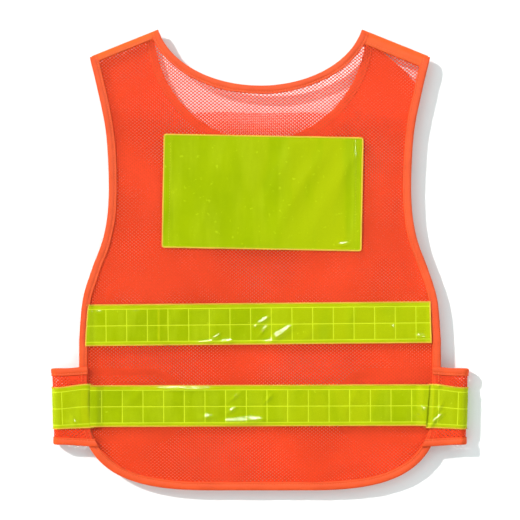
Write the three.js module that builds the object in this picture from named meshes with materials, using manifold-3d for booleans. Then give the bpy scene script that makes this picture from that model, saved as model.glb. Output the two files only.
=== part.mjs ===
// Pull-over mesh vest with lattice tapes, lying flat on its front.
//
// Millimetres. +X is the wearer's right, +Y runs from the hem to the neck, +Z points up from the floor.
// The vest lies with its front panel underneath and its back panel on top. Each side strap is sewn to the
// back panel, turns under at its fold, and closes on the outside of the front panel by hook and loop.
import * as THREE from "three";
import { mergeVertices } from "three/addons/utils/BufferGeometryUtils.js";
import Module from "manifold-3d";

// Overall sizes of the panels.
const VEST_LENGTH = 553.2;
const BODY_WIDTH = 434.4;
const CHEST_WIDTH = 363.6;
const SHOULDER_BREADTH = 409.2;
const SHOULDER_DROP = 33;
// Where the shoulder seam meets the neckline.
const NECK_POINT_X = 122.6;
// Each neckline is the lower part of an ellipse, and depth is how far it drops below the neck point.
const BACK_NECKLINE = { depth: 67.3, halfWidth: 125, halfHeight: 85 };
const FRONT_NECKLINE = { depth: 132.6, halfWidth: 128, halfHeight: 136.6 };

// Widths of the bought-in tapes and bindings.
const BINDING_WIDTH = 10;
const STRAP_BINDING_WIDTH = 9;
const SHOULDER_TAPE_WIDTH = 12;
const REFLECTIVE_TAPE_WIDTH = 50;

// Heights on the back panel, measured from the middle of the vest's length.
const UPPER_TAPE_Y = -76.8;
const LOWER_TAPE_Y = -175.6;
const PATCH = { width: 240, height: 137, y: 81, cornerRadius: 3 };
const LINING_TOP_Y = 178.8;
const LINING_BOTTOM_Y = -56;

// Side straps.
const STRAP_WIDTH = 93;
const STRAP_Y = -176;
const STRAP_SEAM_X = 205;
const STRAP_FOLD_X = 249.5;
const STRAP_TIP_X = 88;
const STRAP_END_TAPE_X = 108;
const HOOK_PATCH = { x: 137, width: 50, height: 50 };
const LOOP_PATCH = { x: 137, width: 74, height: 56 };

// Cloth is PLY thick, and two pieces that lie on each other keep GAP between them.
const PLY = 0.6;
const GAP = 0.3;
const LEVEL = PLY + GAP;
// Free height between the bindings of the two panels, where the body goes.
const BODY_SPACE = 4.8;

// Lowest height of each layer, from the floor up.
const STRAP_END_Z = 0;
const LOOP_PATCH_Z = STRAP_END_Z + 3 * LEVEL;
const FRONT_OUTER_Z = LOOP_PATCH_Z + LEVEL;
const FRONT_MESH_Z = FRONT_OUTER_Z + LEVEL;
const FRONT_TOP_Z = FRONT_MESH_Z + LEVEL + PLY;
const BACK_BOTTOM_Z = FRONT_TOP_Z + BODY_SPACE;
const LINING_Z = BACK_BOTTOM_Z + LEVEL;
const BACK_MESH_Z = LINING_Z + LEVEL;
const BACK_OUTER_Z = BACK_MESH_Z + LEVEL;
const STRAP_BASE_Z = BACK_OUTER_Z + LEVEL;

// Cutting blocks reach this far past what they cut.
const PAST = 100;

// Points along the curves.
const EDGE_POINTS = 34;
const CORNER_POINTS = 14;
const NECK_POINTS = 44;
const TIP_POINTS = 20;

const ORANGE_MESH = { color: 0xff5a35, roughness: 0.8, metalness: 0 };
const ORANGE_BINDING = { color: 0xff6136, roughness: 0.75, metalness: 0 };
const LIME_TAPE = { color: 0xb4c80c, roughness: 0.35, metalness: 0 };
const LIME_PATCH = { color: 0xb4c30d, roughness: 0.5, metalness: 0 };
const ORANGE_HOOK = { color: 0xe85a38, roughness: 0.9, metalness: 0 };

const wasm = await Module();
wasm.setup();

// ---------------------------------------------------------------- solids

function toSolid(geometry) {
  const bare = geometry.index ? geometry.toNonIndexed() : geometry.clone();
  bare.deleteAttribute("normal");
  bare.deleteAttribute("uv");
  const merged = mergeVertices(bare, 1e-4);
  return new wasm.Manifold(
    new wasm.Mesh({
      numProp: 3,
      vertProperties: merged.attributes.position.array,
      triVerts: new Uint32Array(merged.index.array),
    }),
  );
}

function toGeometry(solid) {
  const mesh = solid.getMesh();
  const geometry = new THREE.BufferGeometry();
  geometry.setAttribute("position", new THREE.BufferAttribute(mesh.vertProperties, 3));
  geometry.setIndex(new THREE.BufferAttribute(mesh.triVerts, 1));
  return geometry;
}

// A flat layer with the outline of the points, standing from low to high.
function layer(points, low, high) {
  const shape = new THREE.Shape(points);
  const settings = { depth: high - low, bevelEnabled: false, steps: 1 };
  return toSolid(new THREE.ExtrudeGeometry(shape, settings).translate(0, 0, low));
}

function rectangle(left, right, bottom, top) {
  return [
    new THREE.Vector2(left, bottom),
    new THREE.Vector2(right, bottom),
    new THREE.Vector2(right, top),
    new THREE.Vector2(left, top),
  ];
}

// ---------------------------------------------------------------- outlines

const mirrored = (points) => points.map((p) => new THREE.Vector2(-p.x, p.y)).reverse();

// Moves each point of an open curve sideways, to the left of its direction.
function offset(points, distance) {
  return points.map((point, i) => {
    const before = points[Math.max(i - 1, 0)];
    const after = points[Math.min(i + 1, points.length - 1)];
    const along = after.clone().sub(before).normalize();
    return new THREE.Vector2(point.x - along.y * distance, point.y + along.x * distance);
  });
}

// Edge of a panel from past the left shoulder, round the hem, to past the right shoulder.
// It runs anticlockwise, so the cloth is on its left.
function panelEdge() {
  const side = BODY_WIDTH / 2;
  const chest = CHEST_WIDTH / 2;
  const hem = -VEST_LENGTH / 2;
  const armhole = new THREE.SplineCurve([
    new THREE.Vector2(side, -96),
    new THREE.Vector2(side - 4.2, -48),
    new THREE.Vector2(chest + 20.4, -12),
    new THREE.Vector2(chest + 7.2, 24),
    new THREE.Vector2(chest + 0.8, 60),
    new THREE.Vector2(chest, 104),
    new THREE.Vector2(chest + 3.6, 156),
    new THREE.Vector2(chest + 13.2, 204),
    new THREE.Vector2(SHOULDER_BREADTH / 2, 243.6),
    new THREE.Vector2(SHOULDER_BREADTH / 2 + 2.9, 256),
  ]);
  const corner = new THREE.CubicBezierCurve(
    new THREE.Vector2(60, hem),
    new THREE.Vector2(140, hem),
    new THREE.Vector2(side, -265),
    new THREE.Vector2(side, -170),
  );
  const right = [...corner.getPoints(CORNER_POINTS), ...armhole.getPoints(EDGE_POINTS)];
  return [...mirrored(right), ...right];
}

// Edge of a neckline from past the right shoulder to past the left one, with the cloth on its left.
function neckEdge({ depth, halfWidth, halfHeight }) {
  const centreY = NECK_Y - depth + halfHeight;
  const [down, reach] = [-Math.PI / 2, 0.49 * Math.PI];
  const arc = new THREE.EllipseCurve(0, centreY, halfWidth, halfHeight, down + reach, down - reach, true);
  return arc.getPoints(NECK_POINTS);
}

const NECK_Y = VEST_LENGTH / 2;
const EDGE = panelEdge();
const BACK_NECK = neckEdge(BACK_NECKLINE);
const FRONT_NECK = neckEdge(FRONT_NECKLINE);

// Everything beyond the two shoulder lines, each moved inwards by the distance.
function beyondShoulders(distance) {
  const inner = new THREE.Vector2(NECK_POINT_X, NECK_Y);
  const outer = new THREE.Vector2(SHOULDER_BREADTH / 2, NECK_Y - SHOULDER_DROP);
  const along = outer.clone().sub(inner).normalize();
  const inwards = new THREE.Vector2(along.y, -along.x).multiplyScalar(distance);
  const reach = along.clone().multiplyScalar(PAST / 2);
  const start = inner.clone().add(inwards).sub(reach);
  const end = outer.clone().add(inwards).add(reach);
  const up = new THREE.Vector2(0, PAST);
  const right = [start, end, end.clone().add(up), start.clone().add(up)];
  const block = (points) => layer(points, -PAST, PAST);
  return block(right).add(block(mirrored(right)));
}

// A panel's cloth, set in from its edges so that the bindings wrap round it.
function panelOutline(neck, inset) {
  return [...offset(EDGE, inset), ...offset(neck, inset)];
}

function panelMesh(neck, low) {
  const inset = PLY + GAP;
  return layer(panelOutline(neck, inset), low, low + PLY).subtract(beyondShoulders(inset));
}

// ---------------------------------------------------------------- sewn pieces

// Cloth tape folded over an edge: two legs joined by a web along the edge.
function foldedBinding(edge, width, low, high) {
  const strip = (depth, from, to) => layer([...edge, ...offset(edge, depth).reverse()], from, to);
  const web = strip(PLY, low, high);
  const lowerLeg = strip(width, low, low + PLY);
  const upperLeg = strip(width, high - PLY, high);
  return web.add(lowerLeg).add(upperLeg);
}

function panelBinding(edge, low, high) {
  const stop = beyondShoulders(SHOULDER_TAPE_WIDTH + GAP);
  return foldedBinding(edge, BINDING_WIDTH, low, high).subtract(stop);
}

// Felled tape along a shoulder, folded round the shoulder edges of both panels.
function shoulderTape(side) {
  const inside = FRONT_OUTER_Z - GAP;
  const high = STRAP_BASE_Z + PLY;
  const cloth = panelOutline(BACK_NECK, 0);
  const far = side * BODY_WIDTH;
  const half = rectangle(Math.min(0, far), Math.max(0, far), 0, VEST_LENGTH);
  const band = (from, to, outerEdge, innerEdge) =>
    layer(cloth, from, to)
      .subtract(beyondShoulders(outerEdge))
      .intersect(beyondShoulders(innerEdge))
      .intersect(layer(half, -PAST, PAST));
  const web = band(STRAP_END_Z, high, 0, PLY);
  const under = band(STRAP_END_Z, inside, 0, SHOULDER_TAPE_WIDTH);
  const over = band(high - PLY, high, 0, SHOULDER_TAPE_WIDTH);
  return web.add(under).add(over);
}

// Reflective tape across a panel, from one side binding to the other.
function crossTape(y, low) {
  const half = REFLECTIVE_TAPE_WIDTH / 2;
  const region = layer(offset(EDGE, BINDING_WIDTH + GAP), -PAST, PAST);
  return layer(rectangle(-BODY_WIDTH, BODY_WIDTH, y - half, y + half), low, low + PLY).intersect(region);
}

function roundedRectangle(width, height, radius, centreX, centreY) {
  const [w, h] = [width / 2 - radius, height / 2 - radius];
  const corners = [
    [w, h, 0],
    [-w, h, 1],
    [-w, -h, 2],
    [w, -h, 3],
  ];
  return corners.flatMap(([x, y, turn]) =>
    new THREE.EllipseCurve(
      centreX + x,
      centreY + y,
      radius,
      radius,
      (turn * Math.PI) / 2,
      ((turn + 1) * Math.PI) / 2,
    ).getPoints(4),
  );
}

function backPatch() {
  const outline = roundedRectangle(PATCH.width, PATCH.height, PATCH.cornerRadius, 0, PATCH.y);
  return layer(outline, BACK_OUTER_Z, BACK_OUTER_Z + PLY);
}

// Second mesh layer behind the patch, held by the side bindings and the upper tape's stitching.
function yokeLining() {
  const region = layer(offset(EDGE, PLY + GAP), -PAST, PAST);
  const band = rectangle(-BODY_WIDTH, BODY_WIDTH, LINING_BOTTOM_Y, LINING_TOP_Y);
  return layer(band, LINING_Z, LINING_Z + PLY).intersect(region);
}

// ---------------------------------------------------------------- side straps, drawn on the right

const STRAP_TOP = STRAP_Y + STRAP_WIDTH / 2;
const STRAP_BOTTOM = STRAP_Y - STRAP_WIDTH / 2;
const STRAP_END_X = STRAP_FOLD_X - GAP;

function strapBaseMesh() {
  const inset = PLY + GAP;
  const low = STRAP_BASE_Z + LEVEL;
  const [bottom, top] = [STRAP_BOTTOM + inset, STRAP_TOP - inset];
  const flat = layer(rectangle(STRAP_SEAM_X, STRAP_END_X, bottom, top), low, low + PLY);
  const fold = layer(rectangle(STRAP_END_X - PLY, STRAP_END_X, bottom, top), LOOP_PATCH_Z, low + PLY);
  return flat.add(fold);
}

function strapBaseBinding(atTop) {
  const edgeY = atTop ? STRAP_TOP : STRAP_BOTTOM;
  const inner = new THREE.Vector2(STRAP_SEAM_X, edgeY);
  const outer = new THREE.Vector2(STRAP_END_X - LEVEL, edgeY);
  const edge = atTop ? [outer, inner] : [inner, outer];
  return foldedBinding(edge, STRAP_BINDING_WIDTH, STRAP_BASE_Z, STRAP_BASE_Z + 2 * LEVEL + PLY);
}

function strapTape(innerX, low) {
  const half = REFLECTIVE_TAPE_WIDTH / 2;
  return layer(rectangle(innerX, STRAP_END_X, STRAP_Y - half, STRAP_Y + half), low, low + PLY);
}

// Edge of the strap's free end: along the top to the round tip, and back along the bottom.
function strapEndEdge(inset) {
  const radius = STRAP_WIDTH / 2 - inset;
  const centreX = STRAP_TIP_X + STRAP_WIDTH / 2;
  const tip = new THREE.EllipseCurve(centreX, STRAP_Y, radius, radius, Math.PI / 2, (3 * Math.PI) / 2);
  return [
    new THREE.Vector2(STRAP_END_X, STRAP_TOP - inset),
    ...tip.getPoints(TIP_POINTS),
    new THREE.Vector2(STRAP_END_X, STRAP_BOTTOM + inset),
  ];
}

function strapEndMesh() {
  const low = STRAP_END_Z + LEVEL;
  return layer(strapEndEdge(PLY + GAP), low, low + PLY);
}

function strapEndBinding() {
  const high = STRAP_END_Z + 2 * LEVEL + PLY;
  const strip = (inset, from, to) => layer([...strapEndEdge(0), ...strapEndEdge(inset).reverse()], from, to);
  return strip(PLY, STRAP_END_Z, high)
    .add(strip(STRAP_BINDING_WIDTH, STRAP_END_Z, STRAP_END_Z + PLY))
    .add(strip(STRAP_BINDING_WIDTH, high - PLY, high));
}

function gripPatch({ x, width, height }, low) {
  return layer(roundedRectangle(width, height, 2, x, STRAP_Y), low, low + PLY);
}

// ---------------------------------------------------------------- assembly

const vest = new THREE.Group();
vest.name = "mesh_vest";

function place(name, solid, finish) {
  const mesh = new THREE.Mesh(toGeometry(solid), new THREE.MeshStandardMaterial(finish));
  mesh.name = name;
  vest.add(mesh);
}

place("back_panel_mesh", panelMesh(BACK_NECK, BACK_MESH_Z), ORANGE_MESH);
place("front_panel_mesh", panelMesh(FRONT_NECK, FRONT_MESH_Z), ORANGE_MESH);
place("yoke_lining_mesh", yokeLining(), ORANGE_MESH);

place("back_edge_binding", panelBinding(EDGE, BACK_BOTTOM_Z, BACK_OUTER_Z + PLY), ORANGE_BINDING);
place("back_neck_binding", panelBinding(BACK_NECK, BACK_BOTTOM_Z, BACK_OUTER_Z + PLY), ORANGE_BINDING);
place("front_edge_binding", panelBinding(EDGE, FRONT_OUTER_Z, FRONT_TOP_Z), ORANGE_BINDING);
place("front_neck_binding", panelBinding(FRONT_NECK, FRONT_OUTER_Z, FRONT_TOP_Z), ORANGE_BINDING);

place("back_patch", backPatch(), LIME_PATCH);
place("back_upper_tape", crossTape(UPPER_TAPE_Y, BACK_OUTER_Z), LIME_TAPE);
place("back_lower_tape", crossTape(LOWER_TAPE_Y, BACK_OUTER_Z), LIME_TAPE);
place("front_upper_tape", crossTape(UPPER_TAPE_Y, FRONT_OUTER_Z), LIME_TAPE);
place("front_lower_tape", crossTape(LOWER_TAPE_Y, FRONT_OUTER_Z), LIME_TAPE);

for (const [side, sign] of [["left", -1], ["right", 1]]) {
  const toSide = (solid) => (sign > 0 ? solid : solid.mirror([1, 0, 0]));
  const add = (name, solid, finish) => place(`${side}_${name}`, toSide(solid), finish);
  place(`${side}_shoulder_tape`, shoulderTape(sign), ORANGE_BINDING);
  add("loop_patch", gripPatch(LOOP_PATCH, LOOP_PATCH_Z), ORANGE_HOOK);

  add("strap_base_mesh", strapBaseMesh(), ORANGE_MESH);
  add("strap_base_tape", strapTape(STRAP_SEAM_X, STRAP_BASE_Z + 2 * LEVEL), LIME_TAPE);
  add("strap_base_top_binding", strapBaseBinding(true), ORANGE_BINDING);
  add("strap_base_bottom_binding", strapBaseBinding(false), ORANGE_BINDING);

  add("strap_end_mesh", strapEndMesh(), ORANGE_MESH);
  add("strap_end_tape", strapTape(STRAP_END_TAPE_X, STRAP_END_Z), LIME_TAPE);
  add("strap_end_binding", strapEndBinding(), ORANGE_BINDING);
  add("hook_patch", gripPatch(HOOK_PATCH, STRAP_END_Z + 2 * LEVEL), ORANGE_HOOK);
}

export default vest;
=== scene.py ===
"""High visibility vest lying flat on its front: mesh panels, bindings, lattice tapes, patch and side straps.

Lengths in the shape code are millimetres, x to the wearer's right, y from the hem to the neck and z up
from the floor. build() turns them into metres.
"""

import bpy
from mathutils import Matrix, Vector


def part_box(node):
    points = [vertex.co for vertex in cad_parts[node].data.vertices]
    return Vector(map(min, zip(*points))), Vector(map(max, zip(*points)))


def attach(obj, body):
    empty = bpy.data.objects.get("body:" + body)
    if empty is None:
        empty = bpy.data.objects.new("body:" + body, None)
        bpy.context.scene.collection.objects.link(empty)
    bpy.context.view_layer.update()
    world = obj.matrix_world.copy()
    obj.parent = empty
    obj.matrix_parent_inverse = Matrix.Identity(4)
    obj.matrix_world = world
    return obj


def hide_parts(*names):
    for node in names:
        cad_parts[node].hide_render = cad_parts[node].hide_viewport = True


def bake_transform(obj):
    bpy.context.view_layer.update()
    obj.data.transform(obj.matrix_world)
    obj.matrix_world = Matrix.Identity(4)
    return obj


bl_info = {
    "name": "High Visibility Vest",
    "version": (1, 0, 0),
    "blender": (4, 5, 0),
    "location": "3D View > Sidebar > Vest",
    "description": "Builds a mesh safety vest with lattice tapes and closing side straps",
    "category": "Mesh",
}

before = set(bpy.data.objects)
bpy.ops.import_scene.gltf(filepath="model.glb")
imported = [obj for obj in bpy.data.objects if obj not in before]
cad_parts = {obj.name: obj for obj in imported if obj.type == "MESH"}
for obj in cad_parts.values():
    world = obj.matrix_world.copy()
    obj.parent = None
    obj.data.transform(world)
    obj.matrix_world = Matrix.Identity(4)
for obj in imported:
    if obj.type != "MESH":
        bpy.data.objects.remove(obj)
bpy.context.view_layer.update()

import math
from types import SimpleNamespace

import bpy
import numpy as np
from bpy.props import FloatProperty, FloatVectorProperty, PointerProperty
from mathutils import Vector

MM = 0.001
SIDES = {"left": -1, "right": 1}


def box(node):
    """Lowest and highest corners of a frame node, in millimetres."""
    low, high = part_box(node)
    return np.array(low) / MM, np.array(high) / MM


def level(node):
    """Middle height of a frame node that is one ply thick."""
    low, high = box(node)
    return float(low[2] + high[2]) / 2


# ---------------------------------------------------------------- sizes, most of them from the frame

BODY_LOW, BODY_HIGH = box("back_edge_binding")
HEM_Y = float(BODY_LOW[1])
HALF_BODY = float(BODY_HIGH[0])
NECK_Y = float(box("right_shoulder_tape")[1][1])
SHOULDER_INNER = np.array([122.6, NECK_Y])
SHOULDER_OUTER = np.array([204.6, NECK_Y - 33.0])
HALF_CHEST = 181.8
# Each neckline is the lower part of an ellipse: (depth, half width, half height).
BACK_NECKLINE = (67.3, 125.0, 85.0)
FRONT_NECKLINE = (132.6, 128.0, 136.6)
BINDING_WIDTH = 10.0
STRAP_BINDING_WIDTH = 9.0
STRAP_SEAM_X = 205.0
HALF_PLY = 0.3

MESH_LEVEL = {
    "back": level("back_panel_mesh"),
    "front": level("front_panel_mesh"),
    "lining": level("yoke_lining_mesh"),
}
BACK_OUTER = level("back_patch")
MIDDLE = (MESH_LEVEL["back"] + MESH_LEVEL["front"]) / 2

FOLD_X = float(box("right_strap_end_mesh")[1][0])
TIP_X = float(box("right_strap_end_binding")[0][0])
STRAP_LOW = float(box("right_strap_end_mesh")[0][2]) + HALF_PLY
STRAP_HIGH = float(box("right_strap_base_mesh")[1][2]) - HALF_PLY
STRAP_Y = float(box("right_strap_end_binding")[0][1] + box("right_strap_end_binding")[1][1]) / 2
STRAP_HALF = float(box("right_strap_end_binding")[1][1]) - STRAP_Y
FOLD_RADIUS = (STRAP_HIGH - STRAP_LOW) / 2
FOLD_Z = (STRAP_HIGH + STRAP_LOW) / 2


# ---------------------------------------------------------------- settings


def length(name, text, value, low, high):
    return FloatProperty(name=name, description=text, default=value, min=low, max=high)


def colour(name, text, value):
    return FloatVectorProperty(
        name=name, description=text, default=value, min=0, max=1, size=3, subtype="COLOR"
    )


def share(name, text, value):
    return FloatProperty(name=name, description=text, default=value, min=0.05, max=0.7, subtype="FACTOR")


class VestClothSettings(bpy.types.PropertyGroup):
    pitch: length("Opening pitch", "Distance between openings along a row, in millimetres", 4.8, 2, 12)
    row: length("Row height", "Distance between rows of openings, in millimetres", 1.98, 1, 8)
    back_share: share("Back openness", "Share of the back panel's mesh that is open", 0.50)
    front_share: share("Front openness", "Share of the front panel's mesh that is open", 0.10)
    lining_share: share("Lining openness", "Share of the yoke lining's mesh that is open", 0.60)
    strap_share: share("Strap openness", "Share of the straps' mesh that is open", 0.20)
    fullness: FloatProperty(
        name="Fullness",
        description="Extra cloth held in by the bindings, which buckles into waves",
        default=0.012,
        min=0,
        max=0.05,
        subtype="FACTOR",
    )
    wave_height: length("Wave height", "Highest wave of the lying cloth, in millimetres", 1.7, 0, 4)
    stitch_pitch: length("Stitch pitch", "Distance between stitches, in millimetres", 3.2, 1.5, 8)
    # The closer mesh colour is the mesh colour darkened: painted shade for layers that lie under other
    # cloth.
    close_mesh_painted_shade: colour("Close mesh", "Colour of the closer knitted mesh", (0.89, 0.055, 0.011))
    band: colour("Shoulder tape", "Colour of the tape over the shoulders", (0.84, 0.098, 0.010))
    mesh: colour("Mesh", "Colour of the knitted mesh", (0.95, 0.071, 0.015))
    binding: colour("Binding", "Colour of the edge binding", (0.80, 0.078, 0.012))
    thread: colour("Thread", "Colour of the sewing thread", (0.85, 0.150, 0.040))
    grip: colour("Hook and loop", "Colour of the hook and loop tape", (0.66, 0.080, 0.030))


class VestTapeSettings(bpy.types.PropertyGroup):
    cell: length("Cell length", "Distance between the cross welds of a tape, in millimetres", 24.8, 8, 60)
    weld: length("Weld width", "Width of a weld line, in millimetres", 1.1, 0.4, 3)
    puff: length("Puff", "Height of a cell above its welds, in millimetres", 0.26, 0, 1)
    film: colour("Film", "Colour of the prismatic film", (0.325, 0.435, 0.0015))
    line: colour("Weld line", "Colour of the weld lines", (0.58, 0.70, 0.018))
    warm: colour("Warm film", "Colour of the film where it is doubled or bent", (0.41, 0.485, 0.003))
    patch: colour("Patch", "Colour of the plain patch", (0.318, 0.438, 0.0013))
    edge: colour("Edge", "Colour of the sewn edge of tapes and patch", (0.75, 0.45, 0.03))


class VestStageSettings(bpy.types.PropertyGroup):
    floor: colour("Floor", "Colour of the floor", (0.98, 0.98, 0.98))
    view_width: length("View width", "Width that the camera sees, in millimetres", 624, 200, 2000)
    camera_height: length("Camera height", "Height of the camera, in millimetres", 2500, 800, 8000)
    sun_height: FloatProperty(
        name="Sun height",
        description="Angle of the sun above the floor",
        default=math.radians(31.5),
        min=math.radians(10),
        max=math.radians(90),
        unit="ROTATION",
    )
    sun_strength: FloatProperty(name="Sun", description="Strength of the sun", default=3.32, min=0, max=20)
    sky_strength: FloatProperty(name="Sky", description="Strength of the sky", default=1.0, min=0, max=5)


# ---------------------------------------------------------------- flat curves


def catmull_rom(points, steps):
    """Curve through the points, with steps pieces in all."""
    points = np.asarray(points, float)
    last = len(points) - 1
    places = np.linspace(0, last, steps + 1)
    whole = np.minimum(places.astype(int), last - 1)
    part = (places - whole)[:, None]
    p0, p1 = points[np.maximum(whole - 1, 0)], points[whole]
    p2, p3 = points[whole + 1], points[np.minimum(whole + 2, last)]
    v1, v2 = (p2 - p0) / 2, (p3 - p1) / 2
    cubic = 2 * p1 - 2 * p2 + v1 + v2
    square = -3 * p1 + 3 * p2 - 2 * v1 - v2
    return cubic * part**3 + square * part**2 + v1 * part + p1


def bezier(points, steps):
    a, b, c, d = (np.asarray(p, float) for p in points)
    t = np.linspace(0, 1, steps + 1)[:, None]
    return a * (1 - t) ** 3 + 3 * b * t * (1 - t) ** 2 + 3 * c * t**2 * (1 - t) + d * t**3


def path(points, step):
    """Points evenly spaced along a curve, with its direction, the side the cloth is on, and the length."""
    points = np.asarray(points, float)
    run = np.concatenate([[0], np.cumsum(np.linalg.norm(np.diff(points, axis=0), axis=1))])
    count = max(int(round(run[-1] / step)), 2)
    along = np.linspace(0, run[-1], count + 1)
    even = np.stack([np.interp(along, run, points[:, i]) for i in (0, 1)], axis=1)
    direction = np.gradient(even, axis=0)
    direction /= np.linalg.norm(direction, axis=1)[:, None]
    inward = np.stack([-direction[:, 1], direction[:, 0]], axis=1)
    return SimpleNamespace(points=even, direction=direction, inward=inward, run=along)


def turned(x, y, turn):
    """Flat points turned round the origin by an angle in radians."""
    cosine, sine = math.cos(turn), math.sin(turn)
    return x * cosine - y * sine, x * sine + y * cosine


def mirrored(points):
    return (points * [-1, 1])[::-1]


def panel_side():
    """Right half of a panel's edge, from the middle of the hem to past the shoulder."""
    corner = bezier([(60, HEM_Y), (140, HEM_Y), (HALF_BODY, -265), (HALF_BODY, -170)], 40)
    armhole = catmull_rom(
        [
            (HALF_BODY, -96),
            (HALF_BODY - 4.2, -48),
            (HALF_CHEST + 20.4, -12),
            (HALF_CHEST + 7.2, 24),
            (HALF_CHEST + 0.8, 60),
            (HALF_CHEST, 104),
            (HALF_CHEST + 3.6, 156),
            (HALF_CHEST + 13.2, 204),
            (SHOULDER_OUTER[0], SHOULDER_OUTER[1]),
            (SHOULDER_OUTER[0] + 2.9, SHOULDER_OUTER[1] + 12.4),
        ],
        90,
    )
    return np.concatenate([corner, armhole])


def neck_curve(neckline):
    """Neckline from the right shoulder to the left one."""
    depth, half_width, half_height = neckline
    turn = np.linspace(0.49, -0.49, 90) * math.pi
    centre = NECK_Y - depth + half_height
    return np.stack([half_width * np.sin(turn), centre - half_height * np.cos(turn)], axis=1)


def shoulder_gap(x, y):
    """Distance below the shoulder line of the same side."""
    along = SHOULDER_OUTER - SHOULDER_INNER
    along = along / np.linalg.norm(along)
    return (np.abs(x) - SHOULDER_INNER[0]) * along[1] - (y - SHOULDER_INNER[1]) * along[0]


def between_shoulders(points, gap):
    """The part of a curve that is at least gap below both shoulder lines."""
    return points[shoulder_gap(points[:, 0], points[:, 1]) > gap]


SIDE = panel_side()
EDGE_CURVE = np.concatenate([mirrored(SIDE), SIDE])
NECK_CURVES = {"back": neck_curve(BACK_NECKLINE), "front": neck_curve(FRONT_NECKLINE)}


# ---------------------------------------------------------------- the lying cloth

CELL = 3.0
GRID_X = np.arange(-264, 264.1, CELL)
GRID_Y = np.arange(-300, 300.1, CELL)


def nearest(x, y, points):
    """Distance to the nearest point, and which one it is."""
    best = np.full(x.shape, 1e9)
    which = np.zeros(x.shape, int)
    for i, (px, py) in enumerate(points):
        away = (x - px) ** 2 + (y - py) ** 2
        closer = away < best
        best[closer] = away[closer]
        which[closer] = i
    return np.sqrt(best), which


def smooth(value, low, high):
    """0 below low, 1 above high and a soft step between them."""
    part = np.clip((value - low) / (high - low), 0, 1)
    return part * part * (3 - 2 * part)


def ripple(x, y, size, seed):
    """Soft noise between about -1 and 1, made of crossing sine waves."""
    draw = np.random.default_rng(seed)
    total = np.zeros(np.shape(x))
    for _ in range(7):
        turn = draw.uniform(0, math.pi)
        scale = size * draw.uniform(0.7, 1.6)
        phase = draw.uniform(0, 2 * math.pi)
        total = total + np.sin((x * math.cos(turn) + y * math.sin(turn)) * 2 * math.pi / scale + phase)
    return total / 3.5


def sample(grid, x, y):
    """Value of a grid at any place, between its four nearest points."""
    column = np.clip((np.asarray(x, float) - GRID_X[0]) / CELL, 0, len(GRID_X) - 1.001)
    line = np.clip((np.asarray(y, float) - GRID_Y[0]) / CELL, 0, len(GRID_Y) - 1.001)
    i, j = column.astype(int), line.astype(int)
    a, b = column - i, line - j
    low = grid[j, i] * (1 - a) + grid[j, i + 1] * a
    high = grid[j + 1, i] * (1 - a) + grid[j + 1, i + 1] * a
    return low * (1 - b) + high * b


def blurred(grid, times):
    for _ in range(times):
        padded = np.pad(grid, 1, mode="edge")
        grid = (
            padded[1:-1, 1:-1] * 4
            + padded[:-2, 1:-1]
            + padded[2:, 1:-1]
            + padded[1:-1, :-2]
            + padded[1:-1, 2:]
        ) / 8
    return grid


HELD_WIDTH = 16
RELAX_FRAMES = 30


def relaxed_cloth(gap, fullness):
    """Waves of a panel that is a little fuller than the bindings round it, found by cloth simulation."""
    spacing = 9.0
    xs = np.arange(-216, 216.1, spacing)
    ys = np.arange(-279, 279.1, spacing)
    x, y = np.meshgrid(xs, ys)
    room = sample(gap, x, y)
    inside = room > 2
    number = np.full(x.shape, -1)
    number[inside] = np.arange(inside.sum())
    corners = np.stack([number[:-1, :-1], number[:-1, 1:], number[1:, 1:], number[1:, :-1]], axis=-1)
    quads = corners[(corners >= 0).all(axis=-1)]
    seed = ripple(x, y, 120, 11) * 0.6
    points = np.stack([x[inside], y[inside], seed[inside]], axis=1) * MM
    mesh = bpy.data.meshes.new("wave_cloth")
    mesh.from_pydata(points.tolist(), [], quads.tolist())
    cloth = bpy.data.objects.new("wave_cloth", mesh)
    bpy.context.scene.collection.objects.link(cloth)
    held = cloth.vertex_groups.new(name="held")
    near_edge = np.nonzero(room[inside] < HELD_WIDTH)[0]
    held.add([int(i) for i in near_edge], 1.0, "REPLACE")
    modifier = cloth.modifiers.new("Cloth", "CLOTH")
    physics = modifier.settings
    physics.quality = 5
    physics.mass = 0.25
    physics.tension_stiffness = physics.compression_stiffness = 12
    physics.shear_stiffness = 4
    physics.bending_stiffness = 0.6
    physics.air_damping = 3
    physics.shrink_min = -fullness
    physics.vertex_group_mass = "held"
    physics.effector_weights.gravity = 0
    modifier.collision_settings.use_collision = False
    scene = bpy.context.scene
    modifier.point_cache.frame_start = 1
    modifier.point_cache.frame_end = RELAX_FRAMES
    for moment in range(1, RELAX_FRAMES + 1):
        scene.frame_set(moment)
    shaped = cloth.evaluated_get(bpy.context.evaluated_depsgraph_get())
    heights = np.empty(len(points) * 3)
    shaped.data.vertices.foreach_get("co", heights)
    heights = heights.reshape(-1, 3)[:, 2] / MM
    scene.frame_set(1)
    bpy.data.objects.remove(cloth)
    bpy.data.meshes.remove(mesh)
    full = np.zeros(x.shape)
    full[inside] = heights
    columns = np.clip((GRID_X - xs[0]) / spacing, 0, len(xs) - 1.001)
    lines = np.clip((GRID_Y - ys[0]) / spacing, 0, len(ys) - 1.001)
    i, j = columns.astype(int), lines.astype(int)
    a, b = (columns - i)[None, :], (lines - j)[:, None]
    low = full[np.ix_(j, i)] * (1 - a) + full[np.ix_(j, i + 1)] * a
    high = full[np.ix_(j + 1, i)] * (1 - a) + full[np.ix_(j + 1, i + 1)] * a
    return low * (1 - b) + high * b


# How far the waves are lowered where a tape or the patch stiffens the cloth.
STIFFENING = 0.55
# Depth of the dips that sewing draws in beside the bindings.
DRAWN_IN = 0.35
_ground = {}


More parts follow.
